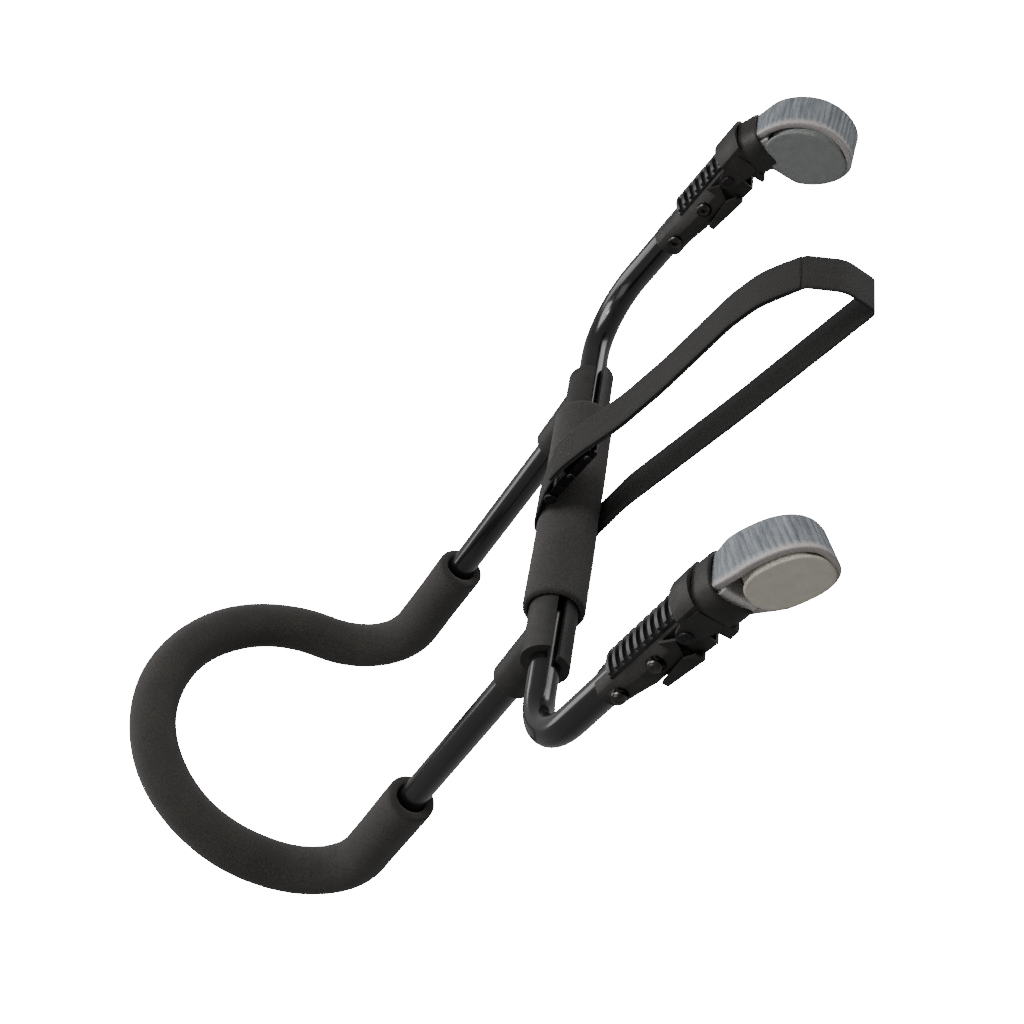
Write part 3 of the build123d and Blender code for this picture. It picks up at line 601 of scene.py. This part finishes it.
def box_stitch(line, start, end, half, pitch):
    """Stitches round a box and across both diagonals of it, from start to end along the line
    and half to either side, as their middles and their directions along, across and up."""
    low_left, low_right, high_right, high_left = (
        np.array(c) for c in ((start, -half), (end, -half), (end, half), (start, half))
    )
    outline = [low_left, low_right, high_right, high_left, low_left]
    runs = [*zip(outline, outline[1:]), (low_left, high_right), (high_left, low_right)]
    places, ways = [], []
    for a, b in runs:
        count = max(2, int(np.linalg.norm(b - a) / pitch))
        share = (np.arange(count) + 0.5)[:, None] / count
        places.append(a + share * (b - a))
        ways.append(np.tile(unit(b - a), (count, 1)))
    places, ways = np.concatenate(places), np.concatenate(ways)
    ahead = unit(np.gradient(line, axis=0))
    along = lengths_along(line)
    flat, tangent, normal = (
        at_places(places[:, 0], along, values) for values in (line, ahead, left_of(ahead))
    )
    zero = np.zeros((len(flat), 1))
    forward = np.concatenate([zero, unit(tangent)], 1)
    up = np.concatenate([zero, unit(normal)], 1)
    centres = side_points(flat + unit(normal) * (STRAP_THICK / 2 + 0.05), places[:, 1])
    way = ways[:, :1] * forward + ways[:, 1:] * X_AXIS
    return centres, way, np.cross(up, way), up


stitches("strap_stitching", *box_stitch(lap_line, start=4, end=26, half=12.5, pitch=3.1))


# ---- clamp loops and their pads ----

ARM_X = 229.0
BAND_HALF, BAND_THICK = 16.5, 5.0
COLLAR_AT, COLLAR_LENGTH = np.array([203.0, -3.0]), 15.0


def rounded_oval(centre, angle, long, short, power, count=240):
    """A closed line round centre: the long half times the cosine to the power 2/power, kept with
    its sign, along a line angle degrees below forward, and the short half times the sine in the
    same way across it.  A power of 2 is an ellipse, and more is squarer."""
    turn = np.linspace(0, 2 * np.pi, count, endpoint=False)
    down = np.array([np.cos(np.radians(angle)), -np.sin(np.radians(angle))])
    over = np.array([-down[1], down[0]])
    along = np.sign(np.cos(turn)) * np.abs(np.cos(turn)) ** (2 / power)
    across = np.sign(np.sin(turn)) * np.abs(np.sin(turn)) ** (2 / power)
    return np.array(centre) + long * along[:, None] * down + short * across[:, None] * over


class Loop:
    """One loop: its collar's tilt, its oval, how far its inner and outer edges are skewed apart,
    and the oval of its pad's face."""

    def __init__(self, side, tilt, oval, skew, face):
        self.name, self.x = ("right", ARM_X) if side > 0 else ("left", -ARM_X)
        self.oval, self.skew, self.face = oval, np.array(skew), face
        self.ahead = np.array([np.cos(np.radians(tilt)), -np.sin(np.radians(tilt))])
        self.up = np.array([np.sin(np.radians(tilt)), np.cos(np.radians(tilt))])

    def mouth(self, forward, up):
        """A point forward of the collar's rear face and up from its middle."""
        return COLLAR_AT + forward * self.ahead + up * self.up

    def outline(self):
        """The taut line from the collar's top round the oval to the collar's foot: of all their
        points, the farthest in each direction, evenly spaced."""
        top, foot = self.mouth(5, 14.2), self.mouth(5, -14.2)
        candidates = np.concatenate([[top], rounded_oval(*self.oval, count=720), [foot]])
        turn = np.linspace(0, 2 * np.pi, 2880, endpoint=False)
        farthest = (np.stack([np.cos(turn), np.sin(turn)], 1) @ candidates.T).argmax(1)
        hull = farthest[farthest != np.roll(farthest, 1)][::-1]
        hull = np.roll(hull, -int(np.argmax(hull == 0)))
        line = candidates[hull]
        along = lengths_along(line)
        even = np.linspace(0, along[-1], 520)
        line = at_places(even, along, line)
        soft = np.exp(-np.linspace(-2, 2, 15) ** 2)
        padded = np.concatenate([2 * line[0] - line[7:0:-1], line, 2 * line[-1] - line[-2:-9:-1]])
        return np.stack([np.convolve(padded[:, k], soft / soft.sum(), "valid") for k in (0, 1)], 1)


def band_section():
    """The band's section as (across, depth below the skin, share of the ribs' height): a rounded
    rectangle whose skin keeps a plain lip at each edge."""
    lip, edge_r = 2.6, 1.2
    across = np.linspace(-BAND_HALF + edge_r, BAND_HALF - edge_r, 23)
    share = np.clip((BAND_HALF - lip - np.abs(across)) / edge_r, 0, 1)
    skin = np.stack([across, np.zeros(23), share], 1)
    turn = np.linspace(0, np.pi / 2, 5)[1:]
    edge = np.stack(
        [BAND_HALF - edge_r + edge_r * np.sin(turn), edge_r - edge_r * np.cos(turn), 0 * turn], 1
    )
    wall = np.array([(BAND_HALF, BAND_THICK - 0.8, 0), (BAND_HALF - 0.8, BAND_THICK, 0)])
    one_side = np.concatenate([edge, wall])
    back = np.linspace(BAND_HALF - 4, -BAND_HALF + 4, 7)
    under = np.stack([back, np.full(7, BAND_THICK), np.zeros(7)], 1)
    return np.concatenate([skin, one_side, under, one_side[::-1] * [-1, 1, 1]])


RIB_PITCH, RIB_HEIGHT = 4.3, 0.9


def clamp_loop(loop):
    """The ribbed band: a point is the outline's point less the section's depth along the outward
    normal, with ribs sunk by a rounded wave of the distance along.  Near both ends the ribs and
    the skew fade out and the band narrows into the collar."""
    line = loop.outline()
    along = lengths_along(line)
    from_end = np.minimum(along, along[-1] - along)
    outward = left_of(unit(np.gradient(line, axis=0)))
    section = band_section()
    wave = np.abs(np.sin(np.pi * along / RIB_PITCH)) ** 0.7
    fade = np.clip(from_end / 12 - 0.6, 0, 1)
    sunk = RIB_HEIGHT * ((1 - wave) * fade)[:, None] * section[None, :, 2]
    depth = (section[None, :, 1] + sunk)[..., None]
    clear = np.clip(from_end / 22 - 0.3, 0, 1)[:, None, None]
    lean = clear * (section[None, :, :1] / BAND_HALF) * loop.skew
    flat = line[:, None] - outward[:, None] * depth + lean
    width = 0.74 + 0.26 * np.clip(from_end / 20 - 0.3, 0, 1)[:, None]
    x = loop.x + section[None, :, 0] * width
    spans = (along, np.append(section[:, 0], section[0, 0]) + BAND_HALF)
    band = grid_piece(
        f"{loop.name}_ribbed_loop", side_points(flat, x), band_rubber, "carrier",
        capped=True, spans=spans,
    )
    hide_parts(f"{loop.name}_clamp_band")


def clamp_saddle(loop):
    """The pale saddle across the collar's mouth: a block with rounded sides, whose distance
    forward is least at its middle and grows by the bow times (height / 15) squared."""
    foot, crown, bow = -14.8, 8.6, 3.2
    up = np.linspace(foot, crown, 40)
    forward = COLLAR_LENGTH - 5.0 + bow * (up / 15) ** 2
    line = np.stack([loop.mouth(f, u) for f, u in zip(forward, up)])
    half, thick, round_r = BAND_HALF - 1.2, 9.8, 0.8
    across = np.linspace(-half + round_r, half - round_r, 13)
    turn = np.linspace(-np.pi / 2, np.pi / 2, 6)[1:-1]
    edge = np.stack(
        [half - round_r + round_r * np.cos(turn), thick / 2 + (thick / 2) * np.sin(turn)], 1
    )
    front = np.stack([across[::-1], np.full(13, thick)], 1)
    back = np.stack([across, np.zeros(13)], 1)
    section = np.concatenate([back, edge, front, edge[::-1] * [-1, 1]])
    flat = line[:, None] + loop.ahead * section[None, :, 1:]
    points = side_points(flat, loop.x + section[None, :, 0])
    saddle = grid_piece(
        f"{loop.name}_saddle", points, saddle_rubber, "carrier", capped=True
    )
    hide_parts(f"{loop.name}_clamp_band")


def collar(loop):
    """The collar round both ends of the band: a closed section of (forward, share from the inner
    oval to the outer one) carried round, with its front edge rolled and bulging at the foot."""
    bulge, outer_half = 2.0, 18.5
    turn = np.linspace(0, np.pi, 7)
    roll = np.stack([COLLAR_LENGTH - 0.9 + 1.2 * np.sin(turn), 0.5 + 0.5 * np.cos(turn)], 1)
    back = np.array([(4.0, 1.0), (0.35, 1.0), (0.35, 0.0), (4.0, 0.0)])
    section = np.concatenate([roll, back[::-1]])
    outer = rounded_oval((0, 0), 0, 19.7, outer_half, 3.0, count=96)
    inner = rounded_oval((0, 0), 0, 16.4, 15.3, 3.0, count=96)
    across_up = inner[:, None] + section[None, :, 1:] * (outer - inner)[:, None]
    foot = np.clip(-across_up[..., 1] / outer_half, 0, 1)
    forward = section[None, :, 0] + bulge * foot * (section[None, :, 0] / COLLAR_LENGTH) ** 2
    flat = COLLAR_AT + forward[..., None] * loop.ahead + across_up[..., 1:] * loop.up
    points = side_points(flat, loop.x + across_up[..., 0])
    ring = grid_piece(
        f"{loop.name}_band_collar", points, nylon, "carrier", loop_u=True
    )
    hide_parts(f"{loop.name}_collar")


def loop_pad(loop, material):
    """The pad that fills the loop: an oval body inside the band with a thin rounded flange over
    each rim. Rings go from the middle of one face out, over the flange's edge, across the body
    and back to the middle of the other face."""
    centre, angle, long, short, power = loop.face
    low, high = BAND_HALF + 0.12, BAND_HALF + 1.5
    turn = np.linspace(0, np.pi / 2, 5)
    faces = [(high, share, 0.0) for share in (0.02, 0.25, 0.5, 0.75, 0.9)]
    rims = [(low + (high - low) * np.cos(t), 1.0, -1.0 + np.sin(t)) for t in turn]
    rings = [
        (x, rounded_oval(centre, angle, share * long + inset, share * short + inset, power))
        for x, share, inset in [*faces, *rims]
    ]
    centre, angle, long, short, power = loop.oval
    body = np.array(centre) + 2.4 * loop.ahead
    body_ring = rounded_oval(body, angle, long - BAND_THICK - 4.2, short - BAND_THICK - 1.8, power)
    for inward in (-0.12, 2.0, BAND_HALF):
        rings.append((BAND_HALF - inward, body_ring + loop.skew * (1 - inward / BAND_HALF)))
    mirrored = [(-x, ring - 2 * loop.skew) for x, ring in rings[:-1][::-1]]
    points = np.stack([side_points(ring, loop.x + x) for x, ring in [*rings, *mirrored]])
    pad = grid_piece(
        f"{loop.name}_loop_pad", points, material, "carrier", capped=True
    )
    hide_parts(f"{loop.name}_band_pad")


right_loop = Loop(
    1, 3, ((245.6, -14.5), 18, 34.0, 21.5, 2.4), (5.6, -1.3), ((252.3, -19.0), 19, 27.5, 17.2, 2.5)
)
left_loop = Loop(
    -1, 20, ((233.0, -32.4), 76, 37.0, 26.4, 1.85), (-2.1, 1.2), ((229.1, -34.1), 78, 31.5, 21.5, 1.9)
)
for loop, pad_material in ((right_loop, right_pad_rubber), (left_loop, left_pad_rubber)):
    clamp_loop(loop)
    clamp_saddle(loop)
    collar(loop)
    loop_pad(loop, pad_material)


# ---- finishes of the CAD nodes that stay ----

finishes = {
    powder_coat: ["arm_tube", "leg_tube"],
    nylon: ["connector", "arm_socket", "collar", "ratchet_housing", "lever"],
    ladder_nylon: ["ladder_strap"],
    nickel_steel: ["cross_bolts", "domed_nuts"],
    oxide_steel: [
        "set_screws", "lever_pivot_pin", "lock_pawl_pin", "lock_pawl_spring", "lever_spring",
        "buckle_rear_bar", "buckle_cam_pin", "buckle_front_bar", "buckle_spring",
    ],
    zinc: ["buckle_frame", "buckle_cam", "drive_pawl", "lock_pawl"],
}
for material, names in finishes.items():
    for node_name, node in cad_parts.items():
        plain = node_name.removeprefix("right_").removeprefix("left_")
        if plain in names:
            node.data.materials.clear()
            node.data.materials.append(material)


# ---- floor and light ----

FLOOR_Z, FLOOR_REACH = -3.0, 60.0
BLOWN_OUT = 40.0


def seen_white(owner, kind, lighting, target):
    """What the camera sees directly is a blown-out white of the kind given, and what lights the
    object is the given shader, as on a lit sweep far behind it."""
    white = add(owner, kind, Color=linear("#ffffff"), Strength=BLOWN_OUT)
    seen = add(owner, "ShaderNodeLightPath").outputs["Is Camera Ray"]
    mix = add(owner, "ShaderNodeMixShader", i0=seen, i1=lighting, i2=white.outputs[0])
    owner.node_tree.links.new(mix.outputs[0], target)


# Matt studio paper: it throws back a soft even light and shows as plain white.
floor_material, paper = shader("matt_studio_paper", Roughness=0.9, Base_Color=linear("#e8e8e8"))
seen_white(
    floor_material, "ShaderNodeEmission", paper.outputs["BSDF"],
    floor_material.node_tree.nodes["Material Output"].inputs["Surface"],
)
floor_mesh = bpy.data.meshes.new("floor")
signs = ((-1, -1), (1, -1), (1, 1), (-1, 1))
floor_corners = [(x * FLOOR_REACH, y * FLOOR_REACH, FLOOR_Z) for x, y in signs]
floor_mesh.from_pydata(floor_corners, [], [(0, 1, 2, 3)])
floor_mesh.materials.append(floor_material)
floor = bpy.data.objects.new("floor", floor_mesh)
bpy.context.collection.objects.link(floor)


def soft_lamp(name, where, target, size, watts):
    """A square lamp at where that faces target, in metres."""
    data = bpy.data.lights.new(name, "AREA")
    data.size, data.energy = size, watts
    lamp = bpy.data.objects.new(name, data)
    bpy.context.collection.objects.link(lamp)
    back = unit(np.array(where) - np.array(target))
    side = unit(np.cross((0.1, 0.2, 1.0), back))
    up = np.cross(back, side)
    rows = [(side[k], up[k], back[k], where[k]) for k in range(3)]
    lamp.matrix_world = Matrix([*rows, (0, 0, 0, 1)])


middle = (0.0, -0.25, 0.03)
view_right, view_up, view_back = (np.array(v) for v in (camera_right, camera_up, camera_back))
soft_lamp("key", middle + 1.1 * view_up - 1.0 * view_right + 0.9 * view_back, middle, 1.1, 26)
soft_lamp("rim", middle + 0.5 * view_up - 1.6 * view_right - 0.5 * view_back, middle, 1.2, 12)
soft_lamp("top", middle + 1.2 * view_up + 1.1 * view_right - 0.3 * view_back, middle, 0.9, 8)
soft_lamp("strip", middle + 0.7 * view_up - 0.5 * view_right + 1.1 * view_back, middle, 0.16, 2.5)
soft_lamp("fill", middle - 1.2 * view_right - 0.6 * view_up + 1.2 * view_back, middle, 1.2, 5)

world = bpy.data.worlds.new("studio")
world.use_nodes = True
bpy.context.scene.world = world
sky = world.node_tree.nodes["Background"]
sky.inputs["Color"].default_value = linear("#f7f7f7")
sky.inputs["Strength"].default_value = 0.32
seen_white(
    world, "ShaderNodeBackground", sky.outputs["Background"],
    world.node_tree.nodes["World Output"].inputs["Surface"],
)
